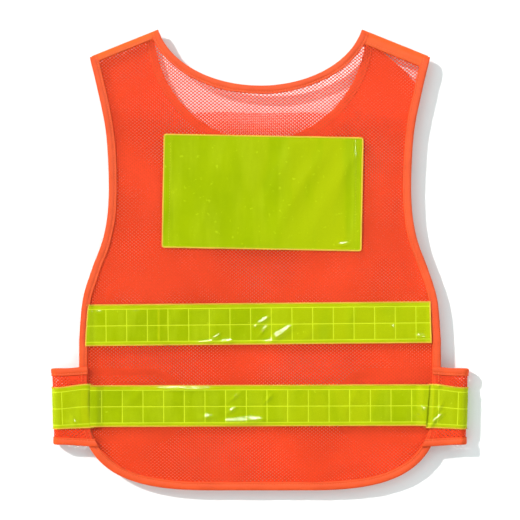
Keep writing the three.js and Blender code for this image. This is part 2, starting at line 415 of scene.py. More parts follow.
def ground():
    """Grids of the distances to the edges and of the waves, worked out once."""
    if _ground:
        return _ground
    cloth = bpy.context.scene.vest_cloth
    x, y = np.meshgrid(GRID_X, GRID_Y)
    edge = path(EDGE_CURVE, 4)
    away, which = nearest(x, y, edge.points)
    right = np.interp(y, SIDE[:, 1], SIDE[:, 0])
    inside = (np.abs(x) < right) & (y > HEM_Y)
    _ground["edge"] = np.where(inside, away, -away)
    for name, curve in NECK_CURVES.items():
        depth, half_width, half_height = BACK_NECKLINE if name == "back" else FRONT_NECKLINE
        centre = NECK_Y - depth + half_height
        below = (x / half_width) ** 2 + ((y - centre) / half_height) ** 2 > 1
        distance = nearest(x, y, path(curve, 4).points)[0]
        _ground[name] = np.where(below, distance, -distance)
    gap = np.minimum(_ground["edge"], _ground["back"])
    gap = np.minimum(gap, shoulder_gap(x, y))
    waves = relaxed_cloth(gap, cloth.fullness)
    waves = blurred(waves, 6)
    waves = waves / max(np.abs(waves).max(), 1e-6) * cloth.wave_height
    # Tapes and patch are stiffer than the mesh, so the waves are lower in them.
    stiff = np.zeros(x.shape)
    for node in ("back_upper_tape", "back_lower_tape", "back_patch"):
        low, high = box(node)
        across = smooth(y, low[1] - 8, low[1] + 4) * (1 - smooth(y, high[1] - 4, high[1] + 8))
        over = smooth(x, low[0] - 8, low[0] + 4) * (1 - smooth(x, high[0] - 4, high[0] + 8))
        stiff = np.maximum(stiff, across * over)
    waves = waves * (1 - STIFFENING * stiff)
    # Sewing draws the cloth in beside the bindings.
    run = edge.run[which]
    drawn = np.sin(run / 17 + 1.5 * np.sin(run / 61)) * np.sin(run / 43 + 1)
    beside = np.exp(-(((away - 16) / 9) ** 2)) * inside
    waves = waves + DRAWN_IN * drawn * beside - DRAWN_IN * beside * (1 - stiff)
    _ground["waves"] = waves * smooth(gap, 3, 22)
    return _ground


# The layers close up over this distance below a shoulder line.
ROLL = 9.0


def lay(x, y, height, end=0.0):
    """Places flat points on the lying vest: waves in the upper layers, and a roll over the shoulders."""
    x, y = np.asarray(x, float), np.asarray(y, float)
    upper = smooth(height, 3.0, 11.0)
    raised = height + sample(ground()["waves"], x, y) * upper
    part = np.clip((shoulder_gap(x, y) - end) / ROLL, 0, 1)
    rolled = MIDDLE + (raised - MIDDLE) * np.sqrt(1 - (1 - part) ** 2)
    return np.stack(np.broadcast_arrays(x, y, rolled), axis=-1)


# ---------------------------------------------------------------- meshes


def tube_faces(rings, sides):
    """Numbers of a tube's points, ring by ring, and the quads between the rings."""
    number = np.arange(rings * sides).reshape(rings, sides)
    around = np.roll(number, -1, axis=1)
    quads = np.stack([number[:-1], around[:-1], around[1:], number[1:]], axis=-1)
    return number, quads.reshape(-1, 4)


class Cloth:
    """Collects the points and faces of one piece, and the material of each face."""

    def __init__(self):
        self.points = []
        self.faces = []
        self.looks = []
        self.count = 0

    def add(self, points, faces, look=0):
        points = np.asarray(points, float).reshape(-1, 3)
        for group in faces:
            group = np.asarray(group, int)
            self.faces.append(group + self.count)
            marks = look if np.ndim(look) else np.full(len(group), look)
            self.looks.append(np.asarray(marks, int))
        self.points.append(points)
        self.count += len(points)

    def grid(self, points, look=0):
        """Points in rows and columns. look is one material, or one for each face."""
        rows, columns = points.shape[:2]
        number = np.arange(rows * columns).reshape(rows, columns)
        quads = np.stack([number[:-1, :-1], number[1:, :-1], number[1:, 1:], number[:-1, 1:]], axis=-1)
        marks = np.asarray(look).reshape(-1) if np.ndim(look) else look
        self.add(points, [quads.reshape(-1, 4)], marks)

    def stitches(self, centres, directions, place, height, size, look=1):
        """One thread for each flat centre: size is (length, radius), and its ends dip into the cloth."""
        long, radius = size
        t = np.array([-1.0, -0.62, 0.0, 0.62, 1.0])
        thick = np.array([0.4, 0.9, 1.0, 0.9, 0.4]) * radius
        drop = np.array([-1.7, -0.5, 0.0, -0.5, -1.7]) * radius
        turn = np.arange(5) * 2 * math.pi / 5 + 0.3
        centres, directions = np.asarray(centres, float), np.asarray(directions, float)
        spots = centres[:, None, :] + directions[:, None, :] * (t * long / 2)[None, :, None]
        base = place(spots[..., 0], spots[..., 1], height)
        up = place(spots[..., 0], spots[..., 1], height + 0.6) - base
        up /= np.linalg.norm(up, axis=-1)[..., None]
        along = base[:, -1:] - base[:, :1]
        across = np.cross(np.broadcast_to(along, up.shape), up)
        across /= np.linalg.norm(across, axis=-1)[..., None]
        middle = base + up * drop[None, :, None]
        ring = (
            middle[:, :, None, :]
            + across[:, :, None, :] * np.cos(turn)[None, None, :, None] * thick[None, :, None, None]
            + up[:, :, None, :] * (np.sin(turn) * 0.8)[None, None, :, None] * thick[None, :, None, None]
        )
        one, quads = tube_faces(len(t), len(turn))
        caps = np.stack([one[0][::-1], one[-1]])
        shift = (np.arange(len(centres)) * one.size)[:, None, None]
        self.add(
            ring.reshape(-1, 3),
            [(quads[None] + shift).reshape(-1, 4), (caps[None] + shift).reshape(-1, len(turn))],
            look,
        )

    def seam(self, at, beside, direction, place, height, size, look, upright=False):
        """Straight row of stitches at the places along it, beside the middle line."""
        spots = [at, np.full(len(at), beside)]
        centres = np.stack(spots[::-1] if upright else spots, axis=1)
        self.stitches(centres, np.tile(direction, (len(at), 1)), place, height, size, look)

    def build(self, name, materials):
        mesh = bpy.data.meshes.new(name)
        faces = [face for group in self.faces for face in group.tolist()]
        mesh.from_pydata((np.concatenate(self.points) * MM).tolist(), [], faces, shade_flat=False)
        for material in materials:
            mesh.materials.append(material)
        mesh.polygons.foreach_set("material_index", np.concatenate(self.looks))
        mesh.update()
        piece = bpy.data.objects.new(name, mesh)
        bpy.context.scene.collection.objects.link(piece)
        return piece


# How uneven the knitting is, in millimetres.
UNEVENNESS = 0.045


def net(half, settings, open_share, turn, keep):
    """Flat knitted net of staggered six-sided openings round the origin, where keep(x, y) is true."""
    half_x, half_y = half
    pitch, row = settings.pitch, settings.row
    narrow = row * row / pitch / 2
    wide = pitch / 2 - narrow
    corner = math.sqrt(open_share) * np.array(
        [(wide, 0), (narrow, row), (-narrow, row), (-wide, 0), (-narrow, -row), (narrow, -row)]
    )
    columns, rows = int(half_x / pitch) + 2, int(half_y / row) + 2
    rows += rows % 2
    i, j = np.meshgrid(np.arange(-columns, columns + 1), np.arange(-rows, rows + 1))
    centre = np.stack([(i + 0.5 * (j % 2)) * pitch, j * row], axis=-1).astype(float)
    draw = np.random.default_rng(3)
    points = centre[:, :, None, :] + corner + draw.normal(0, UNEVENNESS, (*i.shape, 6, 2))
    x, y = turned(points[..., 0], points[..., 1], turn)
    number = np.arange(i.size * 6).reshape(*i.shape, 6)
    odd = (np.arange(-rows, rows + 1) % 2).astype(bool)

    def neighbour(rows_up, side):
        """Numbers of the opening rows_up above and, for one row, half a pitch aside; -1 where none."""
        moved = np.full(number.shape, -1)
        if rows_up == 2:
            moved[:-2] = number[2:]
            return moved
        up = np.full(number.shape, -1)
        up[:-1] = number[1:]
        right = np.full(number.shape, -1)
        right[:, :-1] = up[:, 1:]
        left = np.full(number.shape, -1)
        left[:, 1:] = up[:, :-1]
        if side > 0:
            moved[odd], moved[~odd] = right[odd], up[~odd]
        else:
            moved[odd], moved[~odd] = up[odd], left[~odd]
        return moved

    a, b, c, d = number, neighbour(1, 1), neighbour(2, 0), neighbour(1, -1)
    quads = np.concatenate(
        [
            np.stack([a[..., 0], b[..., 4], b[..., 3], a[..., 1]], axis=-1).reshape(-1, 4),
            np.stack([a[..., 1], c[..., 5], c[..., 4], a[..., 2]], axis=-1).reshape(-1, 4),
            np.stack([a[..., 2], d[..., 0], d[..., 5], a[..., 3]], axis=-1).reshape(-1, 4),
        ]
    )
    triangles = np.concatenate(
        [
            np.stack([a[..., 1], b[..., 3], c[..., 5]], axis=-1).reshape(-1, 3),
            np.stack([a[..., 2], c[..., 4], d[..., 0]], axis=-1).reshape(-1, 3),
        ]
    )
    x, y = x.reshape(-1), y.reshape(-1)
    wanted = np.append(keep(x, y), False)
    quads = quads[wanted[quads].all(axis=1)]
    triangles = triangles[wanted[triangles].all(axis=1)]
    used = np.unique(np.concatenate([quads.reshape(-1), triangles.reshape(-1)]))
    again = np.zeros(len(x), int)
    again[used] = np.arange(len(used))
    return x[used], y[used], [again[quads], again[triangles]]


# Half of a folded binding's section: (share of the width from the edge, height above the cloth).
BINDING_SECTION = [
    (0.0, 0.0),
    (0.010, 0.42),
    (0.045, 0.80),
    (0.12, 1.05),
    (0.25, 1.18),
    (0.40, 1.22),
    (0.54, 1.18),
    (0.64, 1.02),
    (0.71, 0.84),
    (0.76, 0.80),
    (0.82, 0.92),
    (0.90, 1.00),
    (0.96, 0.94),
    (1.0, 0.70),
    (1.0, 0.25),
]
STITCH_ROW = 0.735


def binding(cloth, curve, width, height, half_height, place, stitch_pitch, gap=None):
    """Tape folded over an edge, drawn in at its stitches, on the flat curve with the cloth on its left.

    gap(x, y) is the room left before the shoulder lines, where the tape is cut off along them.
    """
    line = path(curve, 1.6)
    lower = [(part, -rise) for part, rise in BINDING_SECTION[:0:-1]]
    section = np.array(lower + BINDING_SECTION)
    inset = section[:, 0] * width
    rise = section[:, 1] * half_height

    def along(run, depth):
        spots = [np.interp(run, line.run, line.points[:, i]) for i in (0, 1)]
        return [spots[i] + np.interp(run, line.run, line.inward[:, i]) * depth for i in (0, 1)]

    def cut(depth):
        """First and last run of the tape at this depth."""
        if gap is None:
            return line.run[0], line.run[-1]
        free = np.nonzero(gap(*along(line.run, depth)) > 0)[0]
        return line.run[free[0]], line.run[free[-1]]

    limits = np.array([cut(depth) for depth in inset])
    base = np.linspace(*cut(0.0), len(line.run))[:, None]
    first, last = base[0, 0], base[-1, 0]
    run = base + (limits[:, 0] - first)[None, :] * (1 - smooth(base, first, first + 25))
    run = run + (limits[:, 1] - last)[None, :] * smooth(base, last - 25, last)
    pucker = 1 + 0.09 * np.sin(base * 2 * math.pi / stitch_pitch) * (section[:, 0] > 0.5)
    pucker = pucker + 0.09 * np.sin(base / 6.3 + 2 * np.sin(base / 31)) + 0.06 * np.sin(base / 2.9 + 1)
    waver = 0.2 * np.sin(base / 9 + 1.7 * np.sin(base / 37)) * (section[:, 0] > 0.6)
    x, y = along(run, inset[None, :] + waver)
    cloth.grid(place(x, y, height + rise[None, :] * pucker), 0)
    low, high = cut(STITCH_ROW * width)
    count = int((high - low) / stitch_pitch)
    at = low + (np.arange(count) + 0.5) * (high - low) / count
    centre = np.stack(along(at, STITCH_ROW * width), axis=1)
    direction = np.stack([np.interp(at, line.run, line.direction[:, i]) for i in (0, 1)], axis=1)
    lift = half_height * 0.82 + 0.2
    size = (stitch_pitch * 0.8, 0.25)
    cloth.stitches(centre, direction, place, height + lift, size)

    def underneath(x, y, h):
        return place(x, y, 2 * (height - lift) - h)

    cloth.stitches(centre, direction, underneath, height - lift, size)


# ---------------------------------------------------------------- materials


def add_node(tree, kind, output, settings=None, **inputs):
    """Adds a shader node and gives one of its outputs. An input goes by its name, or by i and its number."""
    made = tree.nodes.new("ShaderNode" + kind)
    for key, value in (settings or {}).items():
        setattr(made, key, value)
    for key, value in inputs.items():
        numbered = key[0] == "i" and key[1:].isdigit()
        socket = made.inputs[int(key[1:]) if numbered else key.replace("_", " ")]
        if isinstance(value, bpy.types.NodeSocket):
            tree.links.new(value, socket)
        else:
            socket.default_value = value
    return made.outputs[output]


class Shader:
    """A node material with one Principled shader, built from short calls."""

    def __init__(self, name, **constants):
        self.material = bpy.data.materials.new(name)
        self.material.use_nodes = True
        self.tree = self.material.node_tree
        self.skin = self.tree.nodes["Principled BSDF"]
        for socket, value in constants.items():
            self.skin.inputs[socket.replace("_", " ")].default_value = value
        self.place = self.node("TexCoord", "Object")

    def node(self, kind, output, settings=None, **inputs):
        return add_node(self.tree, kind, output, settings, **inputs)

    def wave(self, place, scale, distortion):
        bands_kind = {"bands_direction": "DIAGONAL"}
        return self.node(
            "TexWave", "Fac", bands_kind, Vector=place, Scale=scale, Distortion=distortion
        )

    def noise(self, scale, detail=3.0, rough=0.55, place=None):
        place = self.place if place is None else place
        return self.node("TexNoise", "Fac", Vector=place, Scale=scale, Detail=detail, Roughness=rough)

    def range(self, value, low, high, start=0.3, end=0.7):
        return self.node(
            "MapRange", 0, Value=value, From_Min=start, From_Max=end, To_Min=low, To_Max=high
        )

    def mix(self, amount, first, second):
        return self.node("Mix", 2, {"data_type": "RGBA"}, Factor=amount, i6=first, i7=second)

    def math(self, operation, first, second):
        return self.node("Math", 0, {"operation": operation}, i0=first, i1=second)

    def finish(self, colour, rough, bumps):
        """bumps are (height, distance in metres, strength), from the broadest to the finest."""
        self.tree.links.new(colour, self.skin.inputs["Base Color"])
        self.tree.links.new(rough, self.skin.inputs["Roughness"])
        normal = None
        for height, distance, strength in bumps:
            inputs = {"Height": height, "Distance": distance, "Strength": strength}
            if normal is not None:
                inputs["Normal"] = normal
            normal = self.node("Bump", "Normal", **inputs)
        self.tree.links.new(normal, self.skin.inputs["Normal"])
        return self.material


def shade(colour, factor, shift=(0, 0, 0)):
    return tuple(min(max(c * factor + s, 0), 1) for c, s in zip(colour, shift)) + (1.0,)


def made_once(make):
    """A material is made the first time that its name is asked for, and found by that name later."""

    def found(name, *args):
        return bpy.data.materials.get(name) or make(name, *args)

    return found


@made_once
def mesh_material(name, base):
    """Knitted polyester: yarn loops, soft patches of tone and a dull sheen."""
    s = Shader(name, Sheen_Weight=0.05, Sheen_Tint=(1, 0.35, 0.2, 1), Specular_IOR_Level=0.06)
    broad = s.noise(16, 3)
    fine = s.noise(420, 2)
    loops = s.node("TexVoronoi", "Distance", Vector=s.place, Scale=760)
    tone = s.mix(s.range(broad, 0, 1), shade(base, 0.93), shade(base, 1.05, (0, 0.006, 0.003)))
    yarn = s.mix(s.range(fine, 0, 0.5), tone, shade(base, 0.80))
    rough = s.range(fine, 0.62, 0.86)
    return s.finish(yarn, rough, [(loops, 0.00022, 0.55), (fine, 0.0001, 0.4)])


@made_once
def woven_material(name, base, thread_size=0.00042):
    """Plain woven tape: crossing threads, lengthwise slubs and faint scuffs."""
    s = Shader(name, Sheen_Weight=0.05, Sheen_Tint=(1, 0.45, 0.2, 1), Specular_IOR_Level=0.08)
    scale = math.pi / (20 * thread_size)
    crosswise = s.node("Mapping", "Vector", Vector=s.place, Rotation=(0, 0, math.pi / 2))
    warp = s.wave(s.place, scale, 0.6)
    weft = s.wave(crosswise, scale, 0.6)
    weave = s.math("MULTIPLY", warp, weft)
    broad = s.noise(34, 3)
    scuff = s.noise(260, 4, 0.7)
    tone = s.mix(s.range(broad, 0, 1), shade(base, 0.90), shade(base, 1.06, (0, 0.01, 0.004)))
    tone = s.mix(s.range(scuff, 0, 0.35, 0.5, 0.75), tone, shade(base, 1.1, (0.02, 0.05, 0.03)))
    tone = s.mix(s.range(weave, 0.25, 0, 0, 0.6), tone, shade(base, 0.72))
    rough = s.range(scuff, 0.5, 0.74)
    return s.finish(tone, rough, [(broad, 0.0006, 0.25), (weave, 0.00016, 0.6)])


@made_once
def thread_material(name, base):
    """Twisted sewing thread."""
    s = Shader(name, Sheen_Weight=0.08, Sheen_Tint=(1, 0.5, 0.2, 1), Specular_IOR_Level=0.15)
    twist = s.wave(s.place, 900, 0.4)
    tone = s.mix(s.range(s.noise(90, 2), 0, 1), shade(base, 0.85), shade(base, 1.08))
    rough = s.range(s.noise(600, 2), 0.4, 0.62)
    return s.finish(tone, rough, [(twist, 0.0001, 0.5)])


@made_once
def film_material(name, base, lighter, gloss, grain_size, warm=None, lean=0.0, glint_speck_start=0.70):
    """Glossy plastic film with a fine prism grain, uneven tone and small bright specks of painted glint."""
    s = Shader(name, Coat_Weight=gloss, Coat_Roughness=0.07, Specular_IOR_Level=0.0, IOR=1.5)
    broad = s.noise(22, 3, 0.6)
    stretch = (1.0, 0.18, 1.0)
    drawn = s.node("Mapping", "Vector", Vector=s.place, Rotation=(0, 0, lean), Scale=stretch)
    streaks = s.noise(60, 3, 0.6, drawn)
    square = {"distance": "MANHATTAN"}
    grain = s.node("TexVoronoi", "Distance", square, Vector=s.place, Scale=1 / grain_size)
    glint_specks = s.noise(190, 2, 0.5)
    tone = s.mix(s.range(broad, 0, 1), shade(base, 0.93), shade(base, 1.07, (0.016, 0, 0)))
    tone = s.mix(s.range(streaks, 0, 0.35, 0.45, 0.75), tone, shade(lighter, 0.9))
    if warm:
        across = s.node("SeparateXYZ", "X", Vector=s.place)
        wide = s.range(s.noise(34, 2, 0.4, drawn), 0, 1, 0.46, 0.58)
        amount = s.math("MULTIPLY", wide, s.range(across, 0.0, 1.0, -0.05, 0.09))
        tone = s.mix(amount, tone, shade(warm, 1.0))
    # Small bright specks are painted glints: light caught by tiny bumps in the coating.
    tone = s.mix(s.range(glint_specks, 0, 0.5, glint_speck_start, glint_speck_start + 0.08), tone, shade(lighter, 1.0))
    tone = s.mix(s.range(grain, 0, 0.22, 0.2, 0.9), tone, shade(base, 0.72))
    rough = s.range(broad, 0.30, 0.46)
    return s.finish(tone, rough, [(streaks, 0.0008, 0.18), (grain, 0.00012, 0.35)])


def floor_material():
    base = bpy.context.scene.vest_stage.floor
    s = Shader("studio_floor", Specular_IOR_Level=0.1)
    cloud = s.noise(3, 3)
    tone = s.mix(s.range(cloud, 0, 1), shade(base, 0.995), shade(base, 1.005))
    rough = s.range(cloud, 0.85, 0.95)
    return s.finish(tone, rough, [(s.noise(40, 3), 0.0002, 0.05)])


def looks():
    """The materials that several pieces share."""
    cloth, tape = bpy.context.scene.vest_cloth, bpy.context.scene.vest_tape
    bent = [(a + b) / 2 for a, b in zip(tape.film, tape.warm)]
    return SimpleNamespace(
        mesh=mesh_material("knitted_mesh", cloth.mesh),
        # The darker mesh is painted shade for the front panel and straps, which lie under other cloth.
        close_mesh_painted_shade=mesh_material("close_knitted_mesh", cloth.close_mesh_painted_shade),
        binding=woven_material("woven_binding", cloth.binding),
        band=woven_material("woven_shoulder_tape", cloth.band),
        thread=thread_material("orange_thread", cloth.thread),
        grip=woven_material("grip_ground", cloth.grip, 0.0007),
        film=film_material("prismatic_film", tape.film, tape.line, 0.14, 0.0011, tape.warm, -0.6),
        weld=film_material("weld_line", tape.line, tape.line, 0.14, 0.0016),
        bent=film_material("bent_film", bent, tape.line, 0.14, 0.0011),
        doubled=film_material("doubled_film", tape.warm, tape.line, 0.14, 0.0011),
        patch=film_material("patch_film", tape.patch, tape.line, 0.12, 0.0007, tape.warm, -0.42, 0.66),
        edge=woven_material("sewn_edge", tape.edge, 0.0005),
        edge_thread=thread_material("edge_thread", tape.edge),
    )


# ---------------------------------------------------------------- panels


# Half sizes of the net that the panels are cut from, and how far inside a panel's edge and below its
# shoulder line the net ends.
PANEL_NET = (226, 286)
EDGE_INSET = 1.6
SHOULDER_INSET = 1.2


def make_panel(name, side, turn, keep, replaced):
    height = MESH_LEVEL[side]
    settings = bpy.context.scene.vest_cloth
    x, y, faces = net(PANEL_NET, settings, getattr(settings, f"{side}_share"), turn, keep)
    cloth = Cloth()
    cloth.add(lay(x, y, height, SHOULDER_INSET), faces)
    # The front panel lies under the back panel and gets the darker mesh colour as painted shade.
    knit = looks().close_mesh_painted_shade if side == "front" else looks().mesh
    piece = cloth.build(name, [knit])
    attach(piece, "vest")
    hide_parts(replaced)
    return piece


class VEST_OT_mesh_panels(bpy.types.Operator):
    """Back panel, front panel and yoke lining, knitted in one net each"""

    bl_idname = "vest.mesh_panels"
    bl_label = "Mesh panels"

    def execute(self, context):
        grids = ground()

        def inside(neck, x, y):
            gap = np.minimum(sample(grids["edge"], x, y), sample(grids[neck], x, y))
            return (gap > EDGE_INSET) & (shoulder_gap(x, y) > SHOULDER_INSET)

        def in_front(x, y):
            # The front panel's right shoulder is cut lower beside the armhole.
            corner_low = (np.abs(x) > 141) & (x > 0) & (shoulder_gap(x, y) < 12 + (x - 141) * 0.42)
            return inside("front", x, y) & ~corner_low

        low, high = box("yoke_lining_mesh")

        def in_lining(x, y):
            inner = sample(grids["edge"], x, y) > EDGE_INSET
            return inner & (y > low[1] + 1) & (y < high[1] - 1)

        make_panel(
            "front_panel", "front", 0.012, in_front, "front_panel_mesh"
        )
        make_panel(
            "yoke_lining", "lining", -0.02, in_lining, "yoke_lining_mesh"
        )
        make_panel(
            "back_panel",
            "back",
            -0.006,
            lambda x, y: inside("back", x, y),
            "back_panel_mesh",
        )
        return {"FINISHED"}


# ---------------------------------------------------------------- bindings


# The bindings run this far past the shoulder lines, into the fold of the shoulder tapes.
PAST_SHOULDER = 0.55


def sew_binding(name, curve, node, height, half_height):
    cloth = Cloth()
    pitch = bpy.context.scene.vest_cloth.stitch_pitch

    def place(x, y, h):
        return lay(x, y, h, -PAST_SHOULDER)

    def room(x, y):
        return shoulder_gap(x, y) + PAST_SHOULDER

    binding(cloth, curve, BINDING_WIDTH, height, half_height, place, pitch, room)
    piece = cloth.build(name, [looks().binding, looks().thread])
    line = path(curve, 2)
    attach(piece, "vest")
    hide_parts(node)
    return piece


class VEST_OT_bindings(bpy.types.Operator):
    """Folded bindings round the armholes, sides, hem and necklines of both panels"""

    bl_idname = "vest.bindings"
    bl_label = "Edge bindings"

    def execute(self, context):
        for panel in ("back", "front"):
            low, high = box(f"{panel}_edge_binding")
            height = float(low[2] + high[2]) / 2
            half = float(high[2] - low[2]) / 2
            for part, curve in (("edge", EDGE_CURVE), ("neck", NECK_CURVES[panel])):
                curve = between_shoulders(curve, -6.0)
                name = f"{panel}_{part}_bias_binding"
                sew_binding(name, curve, f"{panel}_{part}_binding", height, half)
        return {"FINISHED"}


BAND_WIDTH = {"left": 8.5, "right": 15.0}
# Places across a shoulder tape, in twelfths of its width from the shoulder line.
BAND_STOPS = np.array([-0.5, -0.35, 0.0, 0.8, 2, 3.5, 5, 6.5, 8, 9.4, 10.3, 11.2, 12])
# The tape's fold lies this far above the shoulder line.
BAND_EDGE = 0.5


class VEST_OT_shoulder_tapes(bpy.types.Operator):
    """Tape folded over each shoulder seam"""

    bl_idname = "vest.shoulder_tapes"
    bl_label = "Shoulder tapes"

    def execute(self, context):
        along = SHOULDER_OUTER - SHOULDER_INNER
        reach = np.linalg.norm(along)
        along = along / reach
        inward = np.array([along[1], -along[0]])

        def place(x, y, h):
            return lay(x, y, h, -BAND_EDGE)

        for name, side in SIDES.items():
            width = BAND_WIDTH[name]
            run = np.linspace(3.0, reach - 3.0, 60)
            depth = np.maximum(BAND_STOPS * width / 12, -BAND_EDGE)
            cloth = Cloth()
            surfaces = []
            for upper in (True, False):
                height = BACK_OUTER + 0.15 if upper else float(box("front_edge_binding")[0][2]) - 0.3
                sag = np.interp(depth / width, [0.7, 0.8, 0.9, 1.0], [0, -0.35, 0, -0.5])
                flat_x = SHOULDER_INNER[0] + along[0] * run[:, None] + inward[0] * depth[None, :]
                flat_y = SHOULDER_INNER[1] + along[1] * run[:, None] + inward[1] * depth[None, :]
                rise = 0.12 * np.sin(run[:, None] / 2.7) + (sag if upper else -sag)[None, :]
                surfaces.append(place(side * flat_x, flat_y, height + rise))
            joined = np.concatenate([surfaces[1][:, ::-1], surfaces[0][:, 1:]], axis=1)
            cloth.grid(joined, 0)
            count = int((reach - 24) / 3.2)
            at = np.linspace(12, reach - 12, count)
            centre = SHOULDER_INNER + along * at[:, None] + inward * 0.8 * width
            centre[:, 0] *= side
            direction = np.tile(along * [side, 1], (count, 1))
            cloth.stitches(centre, direction, place, BACK_OUTER + 0.1, (2.5, 0.24))
            piece = cloth.build(f"{name}_shoulder_band", [looks().band, looks().thread])
            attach(piece, "vest")
            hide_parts(f"{name}_shoulder_tape")
        return {"FINISHED"}


# ---------------------------------------------------------------- tapes and patch


def creases(x, y, marks):
    """Height of small sharp folds. Each mark is (x, y, direction in degrees, length, width, height)."""
    total = np.zeros(np.shape(x))
    for mark_x, mark_y, turn, long, wide, high in marks:
        turn = math.radians(turn)
        along = (x - mark_x) * math.cos(turn) + (y - mark_y) * math.sin(turn)
        across = -(x - mark_x) * math.sin(turn) + (y - mark_y) * math.cos(turn)
        total = total + high * np.exp(-((along / long * 2) ** 2)) * np.exp(-((across / wide * 2) ** 2))
    return total


def bands(stops, step):
    """Places from the first stop to the last, with every stop kept and no gap wider than step."""
    places = [stops[0]]
    for a, b in zip(stops[:-1], stops[1:]):
        count = max(int(math.ceil((b - a) / step)), 1)
        places += list(a + (b - a) * (np.arange(count) + 1) / count)
    return np.array(places)


TAPE_HALF = 25.0
SELVAGE = 1.5
TAPE_STEP = 1.25
# A tape's ends may slant. Its outer rows follow them, and END_FADE of its run takes up the slant.
END_STRIP = 4.0
END_FADE = 12.0
# How far from a weld the film has risen to most of its height.
PUFF_REACH = 2.2
# Further from every cross weld than the film takes notice of.
FAR = 20.0
# Order of a tape's materials.
FILM, WELD, SEWN_EDGE, EDGE_THREAD, DOUBLED = range(5)
# Where the lengthwise weld lines run, from the tape's middle.
WELD_ROWS = (-20.2, -0.8, 19.0)


def lattice(cloth, ends, first_line, place, crease_marks, splice=None, bound_ends=False):
    """Welded lattice tape. ends(t) gives its two ends at each place across, and place puts it down."""
    tape = bpy.context.scene.vest_tape
    half_weld = tape.weld / 2
    low, high = ends(np.array([0.0]))
    reach = (float(low[0]) + END_STRIP, float(high[0]) - END_STRIP)
    lines = [first_line + tape.cell * k for k in range(-40, 41)]
    lines = [line for line in lines if reach[0] + 2 < line < reach[1] - 2]
    joints = [] if splice is None else [splice]
    lines = [line for line in lines if all(abs(line - joint) > wide + 1 for joint, wide in joints)]
    joined = sorted([(line, half_weld) for line in lines] + joints)
    stops = [reach[0]] + [line + d * wide for line, wide in joined for d in (-1, 1)] + [reach[1]]
    columns = bands(stops, TAPE_STEP)
    rows = [-TAPE_HALF, -TAPE_HALF + SELVAGE]
    rows += [row + d for row in WELD_ROWS for d in (-half_weld, half_weld)]
    rows += [TAPE_HALF - SELVAGE, TAPE_HALF]
    t = bands(rows, TAPE_STEP)
    left, right = ends(t)
    s = np.tile(columns, (len(t), 1))
    fade = np.clip(1 - (columns - reach[0]) / END_FADE, 0, 1)[None, :] ** 2
    s = s + fade * (left + END_STRIP - reach[0])[:, None]
    fade = np.clip(1 - (reach[1] - columns) / END_FADE, 0, 1)[None, :] ** 2
    s = s + fade * (right - END_STRIP - reach[1])[:, None]
    outer_left = np.stack([left, left + SELVAGE], axis=1)
    outer_right = np.stack([right - SELVAGE, right], axis=1)
    s = np.concatenate([outer_left, s, outer_right], axis=1)
    grid_t = np.tile(t[:, None], (1, s.shape[1]))
    # A cell is highest in its middle and lowest on its welds.
    line_gap = np.min(np.abs(s[..., None] - np.array(lines)), axis=-1)
    row_gap = np.min(np.abs(grid_t[..., None] - np.array(WELD_ROWS)), axis=-1)
    in_rows = (grid_t > WELD_ROWS[0] - half_weld) & (grid_t < WELD_ROWS[-1] + half_weld)
    from_line = np.where(in_rows, line_gap, FAR)
    puff = 1 - np.exp(-((from_line / PUFF_REACH) ** 2))
    puff = puff * (1 - np.exp(-((row_gap / PUFF_REACH) ** 2))) * np.where(in_rows, 1.0, 0.2)
    border = np.clip((TAPE_HALF - np.abs(grid_t)) / 2.0, 0, 1)
    rise = tape.puff * puff * border + 0.1 * ripple(s, grid_t, 14, 8) * border
    for joint, wide in joints:
        rise = rise + 0.3 * smooth(s, joint - wide - 0.2, joint - wide + 0.2)
        rise = rise - 0.3 * smooth(s, joint + wide - 0.3, joint + wide + 6)
    marks = tape_looks(s, grid_t, lines, joints, half_weld)
    if bound_ends:
        marks[:, [0, -1]] = SEWN_EDGE
    cloth.grid(place(s, grid_t, rise + creases(s, grid_t, crease_marks)), marks)


def tape_looks(s, t, lines, joints, half_weld):
    """Material of each face. The film is doubled outside the outer weld rows and at a joint."""
    mid_s = (s[:-1, :-1] + s[1:, 1:]) / 2
    mid_t = (t[:-1, :-1] + t[1:, 1:]) / 2
    in_rows = (mid_t > WELD_ROWS[0]) & (mid_t < WELD_ROWS[-1])
    on_line = np.zeros(mid_s.shape, bool)
    for line in lines:
        on_line |= np.abs(mid_s - line) < half_weld
    on_row = np.zeros(mid_s.shape, bool)
    for row in WELD_ROWS:
        on_row |= np.abs(mid_t - row) < half_weld
    look = np.full(mid_s.shape, FILM)
    look[~in_rows] = DOUBLED
    for joint, wide in joints:
        look[np.abs(mid_s - joint) < wide] = DOUBLED
    look[(on_line & in_rows) | on_row] = WELD
    return np.where(np.abs(mid_t) > TAPE_HALF - SELVAGE, SEWN_EDGE, look)


EDGE_STITCH_PITCH = 1.9


def edge_stitches(cloth, low, high, place):
    """Slanting stitches over the two long edges of a tape."""
    at = np.arange(low + 1, high - 1, EDGE_STITCH_PITCH)
    for t, slant in ((TAPE_HALF - 0.8, 1.1), (-TAPE_HALF + 0.8, -1.1)):
        direction = (math.cos(slant), math.sin(slant))
        cloth.seam(at, t, direction, place, 0.34, (2.1, 0.22), EDGE_THREAD)


def tape_materials(warm=False):
    """Materials of a tape in their order. warm is for film that is bent hard."""
    shared = looks()
    film = shared.bent if warm else shared.film
    return [film, shared.weld, shared.edge, shared.edge_thread, shared.doubled]


